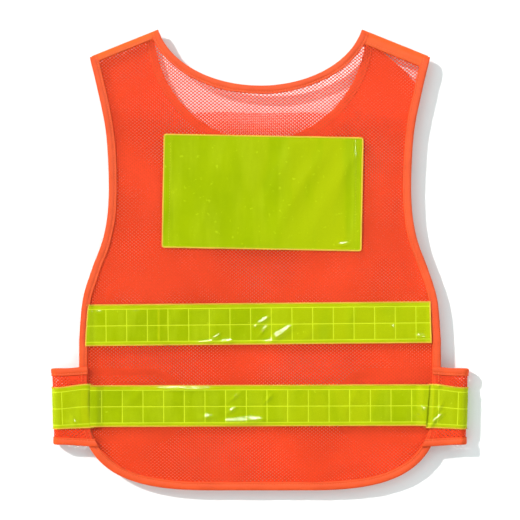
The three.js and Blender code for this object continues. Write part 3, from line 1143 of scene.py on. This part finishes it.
UPPER_CREASES = [
    (25.5, -13.0, 34, 40, 8.0, 1.5),
    (3.0, 2.6, 34, 26, 4.2, 0.9),
    (4.2, -8.6, 50, 15, 3.8, 0.85),
    (-64, -21.6, 5, 24, 5.5, 1.1),
    (-41, -21.2, 6, 20, 5.5, 1.1),
    (-52, -15.0, 40, 12, 3.8, 0.8),
    (0, -21.4, 1, 24, 4.6, 0.8),
    (60, -12, 44, 30, 9.0, 0.6),
    (110, 8, 65, 36, 12.0, 0.7),
    (160, -9, -40, 30, 10.0, 0.6),
    (194, -18, -8, 20, 5.5, 1.1),
    (-150, 6, 60, 34, 12.0, 0.5),
    (-105, 4, 50, 36, 11.0, 0.5),
]
LOWER_CREASES = [
    (-62, -13.5, 2, 18, 6.0, 1.1),
    (-18, -19.0, 3, 60, 9.0, 2.2),
    (-34, -6.0, 35, 16, 4.0, 0.85),
    (-30, 10.5, 40, 16, 4.0, 0.85),
    (10, 8.0, 50, 16, 4.4, 1.0),
    (-90, 20.0, 0, 120, 5.5, 1.0),
    (60, -10, -50, 30, 9.0, 0.6),
    (192, -2.5, -44, 20, 5.4, 1.3),
    (189, -13, -40, 15, 4.6, 1.1),
    (-150, 10, 45, 32, 10.0, 0.6),
    (110, 6, 60, 32, 10.0, 0.6),
]
# Each tape: (shift up, turn in radians, first cross weld, splice as (place, half width), creases).
CROSS_TAPES = {
    "back_upper_tape": (0.3, 0.0098, -184.8, (-121.5, 1.3), UPPER_CREASES),
    "back_lower_tape": (0.9, 0.0035, -190.0, None, LOWER_CREASES),
    "front_upper_tape": (0.0, -0.004, -178.0, None, LOWER_CREASES),
    "front_lower_tape": (0.0, 0.003, -186.0, (96.0, 1.3), UPPER_CREASES),
}
# Distance between a panel's edge and the end of a tape that reaches to its binding.
TAPE_MARGIN = BINDING_WIDTH - 2.4


class VEST_OT_cross_tapes(bpy.types.Operator):
    """Two lattice tapes across each panel"""

    bl_idname = "vest.cross_tapes"
    bl_label = "Cross tapes"

    def execute(self, context):
        grids = ground()
        for name, (shift, turn, first_line, splice, marks) in CROSS_TAPES.items():
            low, high = box(name)
            centre_y = float(low[1] + high[1]) / 2 + shift
            height = level(name)
            above = 1 if name.startswith("back") else -1

            def spot(s, t):
                x, y = turned(s, t, turn)
                return x, centre_y + y

            def place(s, t, h):
                x, y = spot(s, t)
                lift = 0
                if name == "back_lower_tape":
                    lift = 2.7 * smooth(np.abs(x), 186, 198)
                elif name == "back_upper_tape":
                    lift = 1.3 * smooth(np.abs(x), 198, 206)
                return lay(x, y, height + above * (h + lift))

            def end(t, side):
                if name == "back_lower_tape":
                    return 201.2 + 0.09 * t if side > 0 else -204.2 + 0.01 * t
                if name == "back_upper_tape" and side > 0:
                    return 205.2 - 0.02 * t
                # The other ends follow the panel's edge, found step by step.
                s = np.full(t.shape, side * 150.0)
                for _ in range(40):
                    room = sample(grids["edge"], *spot(s, t)) - TAPE_MARGIN
                    s = s + side * np.clip(room, -8, 8) * 0.7
                return s

            def ends(t):
                return end(t, -1), end(t, 1)

            cloth = Cloth()
            lattice(cloth, ends, first_line, place, marks, splice, "upper" in name)
            left, right = ends(np.array([0.0]))
            edge_stitches(cloth, float(left[0]), float(right[0]), place)
            piece = cloth.build(name.replace("tape", "lattice_tape"), tape_materials())
            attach(piece, "vest")
            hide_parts(name)
        return {"FINISHED"}


PATCH_CREASES = [
    (-66, -20, 74, 80, 10, 0.38),
    (-14, 22, 82, 60, 11, 0.42),
    (18, 20, 64, 110, 18, 0.72),
    (36, -12, 60, 100, 18, 0.74),
    (58, 26, 52, 80, 17, 0.70),
    (70, -20, 68, 90, 18, 0.72),
    (92, 14, 76, 90, 15, 0.62),
    (104, 36, 62, 40, 10, 0.55),
    (98, -61, 4, 15, 5.0, 1.0),
]
PATCH_MIDDLE_X = 3.1
PATCH_TURN = -0.0185
CORNER_RADIUS = 3.5
PATCH_BORDER = 1.7
# Distance of the two pressed grooves from the patch's short sides. The outer one is sewn.
SEWN_GROOVE, HEM_GROOVE = 8.4, 13.0


class VEST_OT_back_patch(bpy.types.Operator):
    """Plain patch between the shoulder blades, hemmed and sewn on along its edges"""

    bl_idname = "vest.back_patch"
    bl_label = "Back patch"

    def execute(self, context):
        low, high = box("back_patch")
        half_x, half_y = float(high[0] - low[0]) / 2, float(high[1] - low[1]) / 2
        middle_y = float(high[1] + low[1]) / 2

        def place(s, t, h):
            x, y = turned(s, t, PATCH_TURN)
            return lay(PATCH_MIDDLE_X + x, middle_y + y, BACK_OUTER + h)

        def rounded(s, t):
            corner_s, corner_t = half_x - CORNER_RADIUS, half_y - CORNER_RADIUS
            ds, dt = np.maximum(np.abs(s) - corner_s, 0), np.maximum(np.abs(t) - corner_t, 0)
            size = np.hypot(ds, dt)
            scale = np.where((ds > 0) & (dt > 0), np.maximum(ds, dt) / np.maximum(size, 1e-9), 1)
            s = np.sign(s) * (np.minimum(np.abs(s), corner_s) + ds * scale)
            t = np.sign(t) * (np.minimum(np.abs(t), corner_t) + dt * scale)
            return s, t

        across = [half_x - HEM_GROOVE, half_x - PATCH_BORDER, half_x]
        columns = bands([-stop for stop in reversed(across)] + across, PATCH_BORDER)
        lines = bands(
            [-half_y, -half_y + PATCH_BORDER, half_y - 9, half_y - PATCH_BORDER, half_y], PATCH_BORDER
        )
        flat_s, flat_t = np.meshgrid(columns, lines)
        s, t = rounded(flat_s, flat_t)
        hem = smooth(np.abs(s), half_x - 13.6, half_x - 12.4) * 0.28
        hem = hem + 0.16 * smooth(t, half_y - 9.5, half_y - 8.5)
        groove = -0.34 * np.exp(-((np.abs(s) - half_x + SEWN_GROOVE) ** 2))
        groove = groove - 0.26 * np.exp(-((np.abs(s) - half_x + HEM_GROOVE) ** 2))
        fold = 0.28 * ripple(s * 0.9 - t * 0.4, t * 0.2, 55, 21) + 0.05 * ripple(s, t, 9, 4)
        inner = np.clip((half_x - np.abs(s)) / 8, 0, 1) * np.clip((half_y - np.abs(t)) / 8, 0, 1)
        rise = 0.15 + hem + groove + (fold + creases(s, t, PATCH_CREASES)) * inner
        edge = np.maximum(np.abs(flat_s) - half_x, np.abs(t) - half_y)
        rise = rise + 0.2 * smooth(edge, -PATCH_BORDER - 0.4, -PATCH_BORDER + 0.3)
        mid_s = np.abs((columns[:-1] + columns[1:]) / 2)[None, :] > half_x - PATCH_BORDER
        mid_t = np.abs((lines[:-1] + lines[1:]) / 2)[:, None] > half_y - PATCH_BORDER
        cloth = Cloth()
        cloth.grid(place(s, t, rise), np.where(mid_s | mid_t, 1, 0))
        long, short = math.cos(1.15), math.sin(1.15)
        over_edge = (2.2, 0.23)
        for side in (-1, 1):
            at = np.arange(-half_x + 2, half_x - 2, EDGE_STITCH_PITCH)
            cloth.seam(at, side * (half_y - 0.9), (long, side * short), place, 0.62, over_edge, 2)
            at = np.arange(-half_y + 2, half_y - 2, EDGE_STITCH_PITCH)
            cloth.seam(at, side * (half_x - 0.9), (side * short, long), place, 0.62, over_edge, 2, True)
            at = np.arange(-half_y + 3, half_y - 3, 3.4)
            groove_x = side * (half_x - SEWN_GROOVE)
            cloth.seam(at, groove_x, (0.0, 1.0), place, 0.30, (2.5, 0.17), 3, True)
        shared = looks()
        yellow = thread_material("lime_thread", (0.62, 0.62, 0.02))
        piece = cloth.build("back_plain_patch", [shared.patch, shared.edge, shared.edge_thread, yellow])
        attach(piece, "vest")
        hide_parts("back_patch")
        return {"FINISHED"}


# ---------------------------------------------------------------- side straps

# Lengths of the flat strap from its seam to the bend, round the bend, and from there to the tip.
BASE_RUN = FOLD_X - FOLD_RADIUS - STRAP_SEAM_X
BEND_RUN = math.pi * FOLD_RADIUS
END_RUN = FOLD_X - FOLD_RADIUS - TIP_X
STRAP_RUN = BASE_RUN + BEND_RUN + END_RUN


def strap_start(y):
    """Where the strap's base begins: along the inner edge of the panel's binding."""
    inner = path(SIDE, 2)
    points = inner.points + inner.inward * (BINDING_WIDTH + 0.4)
    return np.interp(y, points[:, 1], points[:, 0])


def strap_place(side):
    """Puts flat strap points (run from the seam, height from the strap's middle) on the folded strap."""

    def place(run, across, rise):
        run, across = np.asarray(run, float), np.asarray(across, float)
        outward = smooth(run, 0, BASE_RUN)
        y = STRAP_Y + across * (1.03 - 0.05 * outward)
        slant = outward * (1.3 * across / STRAP_HALF - 0.6)
        start = strap_start(y)
        bend_x = FOLD_X - FOLD_RADIUS
        base_x = start + (bend_x - start) * run / BASE_RUN
        turn = np.clip((run - BASE_RUN) / FOLD_RADIUS, 0, math.pi)
        radius = FOLD_RADIUS + rise
        bend = bend_x + radius * np.sin(turn)
        past = np.maximum(run - BASE_RUN - BEND_RUN, 0)
        x = np.where(run < BASE_RUN, base_x, bend - past) + slant
        z = FOLD_Z + radius * np.cos(turn)
        seat = 1 - smooth(x, 212, 232)
        z = z + sample(ground()["waves"], side * x, y) * seat * (run < BASE_RUN)
        # The base lies a little unevenly past its seam, and nothing sinks into the floor.
        z = z + 0.35 * ripple(x, y, 46, 31) * (run < BASE_RUN) * smooth(run, 4, 20)
        z = np.maximum(z, 0.05 + 0.05 * (z - 0.05))
        return np.stack(np.broadcast_arrays(side * x, y, z), axis=-1)

    return place


def strap_outline():
    """Edge of the flat strap from the seam's top, round the tip, to the seam's bottom, cloth on its left."""
    centre = STRAP_RUN - STRAP_HALF
    turn = np.linspace(math.pi / 2, -math.pi / 2, 40)
    tip = np.stack([centre + STRAP_HALF * np.cos(turn), STRAP_HALF * np.sin(turn)], axis=1)
    line = np.concatenate([[(0.0, STRAP_HALF)], tip, [(0.0, -STRAP_HALF)]])
    return line[::-1]


def blend_strap(piece):
    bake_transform(piece)


HOOK_PITCH = 1.7
# Rings of one hook from its foot to its tip: (lean, height, radius).
HOOK_RINGS = ((0.0, -0.1, 0.26), (0.05, 0.42, 0.2), (0.42, 0.62, 0.16), (0.62, 0.36, 0.08))


def grip_patch(node, body, facing, name):
    """Hook tape with rows of small hooks, or loop tape with a fuzzy pile."""
    low, high = box(node)
    centre = (low + high) / 2
    half = (high - low) / 2
    xs = bands([-half[0], half[0]], 0.9)
    ys = bands([-half[1], half[1]], 0.9)
    x, y = np.meshgrid(xs, ys)
    hooks = "hook" in node
    draw = np.random.default_rng(17)
    pile = 0.06 if hooks else 0.34
    inner = (np.abs(x) < half[0] - 2) & (np.abs(y) < half[1] - 2)
    rise = pile * draw.uniform(-0.5, 1, x.shape) * inner
    cloth = Cloth()
    points = np.stack([centre[0] + x, centre[1] + y, centre[2] + facing * rise], axis=-1)
    cloth.grid(points[:, ::facing], 0)
    if hooks:
        places = [np.arange(-reach + 3, reach - 2.9, HOOK_PITCH) for reach in half[:2]]
        hx, hy = np.meshgrid(*places)
        hx = (hx + 0.4 * (np.arange(hx.shape[0]) % 2)[:, None]).reshape(-1)
        hy = hy.reshape(-1)
        ring = np.arange(4) * math.pi / 2
        shape = []
        for lean, up, thick in HOOK_RINGS:
            flat = [lean + thick * np.cos(ring), thick * np.sin(ring)]
            shape.append(np.stack([*flat, np.full(4, facing * up)], axis=-1))
        shape = np.concatenate(shape)
        spots = np.stack([centre[0] + hx, centre[1] + hy, np.full(hx.shape, centre[2])], axis=-1)
        one, quads = tube_faces(len(HOOK_RINGS), len(ring))
        quads = np.concatenate([quads, one[-1:]])
        shift = (np.arange(len(spots)) * one.size)[:, None, None]
        cloth.add((spots[:, None] + shape[None]).reshape(-1, 3), [(quads[None] + shift).reshape(-1, 4)], 1)

    def place(x, y, h):
        spot = (centre[0] + x, centre[1] + y, centre[2] + facing * h)
        return np.stack(np.broadcast_arrays(*spot), axis=-1)

    at = np.arange(-half[0] + 1.6, half[0] - 1.5, 3.0)
    for side in (-1, 1):
        cloth.seam(at, side * (half[1] - 1.2), (1.0, 0.0), place, 0.18, (2.3, 0.2), 1)
    piece = cloth.build(name, [looks().grip, looks().thread])
    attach(piece, body)
    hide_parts(node)


STRAP_CREASES = {
    "left": [
        (20, -20, 10, 22, 8.0, 1.4),
        (20, -14, 70, 12, 5.0, 0.9),
        (17, 20, 10, 18, 6.0, 0.8),
    ],
    "right": [
        (9, 24, 40, 12, 5.0, 1.0),
        (9, -2, 60, 14, 4.6, 1.1),
        (9, -13, 45, 16, 4.6, 1.2),
        (3, -19, 60, 12, 4.4, 1.0),
    ],
}
# Doubled film where a strap's tape starts: (place, half width).
STRAP_JOINT = {"left": (3.4, 5.2), "right": (0.6, 1.2)}


class VEST_OT_side_straps(bpy.types.Operator):
    """Side straps: mesh, binding, lattice tape, and hook and loop patches"""

    bl_idname = "vest.side_straps"
    bl_label = "Side straps"

    def execute(self, context):
        cloth_settings = context.scene.vest_cloth
        outline = strap_outline()
        centre = STRAP_RUN - STRAP_HALF
        for name, side in SIDES.items():
            place = strap_place(side)

            def inside(x, y):
                run = x + STRAP_RUN / 2
                past = np.maximum(run - centre, 0)
                return (run > 0.2) & (np.hypot(past, y) < STRAP_HALF - 1.4)

            half = (STRAP_RUN / 2 + 4, STRAP_HALF + 4)
            x, y, faces = net(half, cloth_settings, cloth_settings.strap_share, 0.01, inside)
            cloth = Cloth()
            cloth.add(place(x + STRAP_RUN / 2, y, 0.0), faces)
            if side < 0:
                cloth.faces = [group[:, ::-1] for group in cloth.faces]
            # The strap mesh gets the darker mesh colour as painted shade.
            mesh = cloth.build(f"{name}_strap_mesh", [looks().close_mesh_painted_shade])
            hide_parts(f"{name}_strap_base_mesh", f"{name}_strap_end_mesh")
            blend_strap(mesh)

            cloth = Cloth()
            binding(
                cloth, outline, STRAP_BINDING_WIDTH, 0.0, 1.15, place, cloth_settings.stitch_pitch
            )
            # The seam that holds the strap's base on the panel.
            across = np.arange(-STRAP_HALF + 2, STRAP_HALF - 1, 3.0)
            across = across[np.abs(across) > TAPE_HALF + 3]
            for run in (3.0, 7.5):
                cloth.seam(across, run, (0.0, 1.0), place, 1.25, (2.3, 0.24), 1, True)
            edge = cloth.build(f"{name}_strap_binding", [looks().binding, looks().thread])
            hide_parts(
                f"{name}_strap_base_top_binding",
                f"{name}_strap_base_bottom_binding",
                f"{name}_strap_end_binding",
            )
            long = path(outline, 2).run[-1]
            blend_strap(edge)

            tape_low, tape_high = -7.2, STRAP_RUN - 20.0

            def tape_place(s, t, h, place=place):
                shift = 1.0 - 2.9 * smooth(s, 0, BASE_RUN + 6)
                sink = 1.6 * (1 - smooth(s, -6.0, 2.0))
                return place(s, 1.03 * t + shift, 1.0 + h - sink)

            def tape_ends(t):
                return tape_low + 3.0 * smooth(np.abs(t), 10, 25), np.full(t.shape, tape_high)

            cloth = Cloth()
            lattice(cloth, tape_ends, 8.0, tape_place, STRAP_CREASES[name], STRAP_JOINT[name])
            edge_stitches(cloth, tape_low, tape_high, tape_place)
            tape = cloth.build(f"{name}_strap_tape", tape_materials(warm=True))
            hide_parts(f"{name}_strap_base_tape", f"{name}_strap_end_tape")
            blend_strap(tape)

            grip_patch(f"{name}_hook_patch", f"{name}_strap_end", 1, f"{name}_hook_tape")
            grip_patch(f"{name}_loop_patch", "vest", -1, f"{name}_loop_tape")
        return {"FINISHED"}


# ---------------------------------------------------------------- stage


FLOOR_Z = -0.0006
HORIZON = (1.0, 1.0, 1.0, 1)
SKY_TINT = (0.91, 1.0, 1.0, 1)
# The ceiling right above is dim, so that flat glossy film keeps its colour.
CEILING = (0.14, 0.145, 0.145, 1)
SUN_COLOUR = (1.0, 0.97, 0.96)
SUN_WIDTH = math.radians(2.6)
# Small bright panels that only show as glints on creased film: (name, place in metres, watts).
GLINTS = (
    ("glint_left", (-0.46, 0.62, 1.85), 62.0),
    ("glint_above", (0.02, 0.78, 1.85), 55.0),
    ("glint_right", (0.72, 0.50, 1.85), 55.0),
)
GLINT_SIZE = 0.42
SENSOR = 36


class VEST_OT_stage(bpy.types.Operator):
    """Pale floor, soft daylight and a camera straight above"""

    bl_idname = "vest.stage"
    bl_label = "Stage"

    def execute(self, context):
        scene = context.scene
        stage = scene.vest_stage
        corners = [(x, y, FLOOR_Z) for x, y in ((-8, -8), (8, -8), (8, 8), (-8, 8))]
        mesh = bpy.data.meshes.new("floor")
        mesh.from_pydata(corners, [], [(0, 1, 2, 3)])
        mesh.materials.append(floor_material())
        floor = bpy.data.objects.new("floor", mesh)
        scene.collection.objects.link(floor)

        world = bpy.data.worlds.new("soft_sky")
        world.use_nodes = True
        tree = world.node_tree
        blend = {"data_type": "RGBA"}
        direction = add_node(tree, "TexCoord", "Generated")
        height = add_node(tree, "SeparateXYZ", "Z", Vector=direction)
        above = add_node(tree, "MapRange", 0, Value=height, From_Min=0.12, From_Max=0.35)
        tint = add_node(tree, "Mix", 2, blend, Factor=above, i6=HORIZON, i7=SKY_TINT)
        overhead = add_node(tree, "MapRange", 0, Value=height, From_Min=0.80, From_Max=0.96)
        dome = add_node(tree, "Mix", 2, blend, Factor=overhead, i6=tint, i7=CEILING)
        sky = tree.nodes["Background"]
        tree.links.new(dome, sky.inputs["Color"])
        sky.inputs["Strength"].default_value = stage.sky_strength
        scene.world = world

        sun = bpy.data.lights.new("sun", "SUN")
        sun.energy = stage.sun_strength
        sun.angle = SUN_WIDTH
        sun.color = SUN_COLOUR
        lamp = bpy.data.objects.new("sun", sun)
        across = Vector((16, -12, 0)).normalized() * math.cos(stage.sun_height)
        falling = across + Vector((0, 0, -math.sin(stage.sun_height)))
        lamp.rotation_euler = falling.to_track_quat("-Z", "Y").to_euler()
        lamp.visible_glossy = False
        scene.collection.objects.link(lamp)
        for name, spot, power in GLINTS:
            light = bpy.data.lights.new(name, "AREA")
            light.size = GLINT_SIZE
            light.energy = power
            glint = bpy.data.objects.new(name, light)
            glint.location = spot
            glint.rotation_euler = (-Vector(spot)).to_track_quat("-Z", "Y").to_euler()
            glint.visible_diffuse = False
            glint.visible_camera = False
            scene.collection.objects.link(glint)

        lens = bpy.data.cameras.new("camera")
        lens.sensor_width = SENSOR
        lens.lens = SENSOR * (stage.camera_height - BACK_OUTER) / stage.view_width
        lens.clip_end = 50
        camera = bpy.data.objects.new("camera", lens)
        camera.location = (0, 0, stage.camera_height * MM)
        scene.collection.objects.link(camera)
        scene.camera = camera
        scene.view_settings.view_transform = "Standard"
        return {"FINISHED"}


# ---------------------------------------------------------------- panel and registration

STEPS = (
    VEST_OT_stage,
    VEST_OT_mesh_panels,
    VEST_OT_bindings,
    VEST_OT_shoulder_tapes,
    VEST_OT_cross_tapes,
    VEST_OT_back_patch,
    VEST_OT_side_straps,
)
SETTINGS = {
    "vest_cloth": VestClothSettings,
    "vest_tape": VestTapeSettings,
    "vest_stage": VestStageSettings,
}


class VEST_PT_sidebar(bpy.types.Panel):
    bl_idname = "VEST_PT_sidebar"
    bl_label = "High visibility vest"
    bl_space_type = "VIEW_3D"
    bl_region_type = "UI"
    bl_category = "Vest"

    def draw(self, context):
        for name, kind in SETTINGS.items():
            group = self.layout.box()
            for key in kind.__annotations__:
                group.prop(getattr(context.scene, name), key)
        for step in STEPS:
            self.layout.operator(step.bl_idname)


CLASSES = (*SETTINGS.values(), *STEPS, VEST_PT_sidebar)


def register():
    for kind in CLASSES:
        bpy.utils.register_class(kind)
    for name, kind in SETTINGS.items():
        setattr(bpy.types.Scene, name, PointerProperty(type=kind))


def unregister():
    for name in SETTINGS:
        delattr(bpy.types.Scene, name)
    for kind in reversed(CLASSES):
        bpy.utils.unregister_class(kind)


def main():
    register()
    for step in STEPS:
        group, name = step.bl_idname.split(".")
        getattr(getattr(bpy.ops, group), name)()


if __name__ == "__main__":
    main()
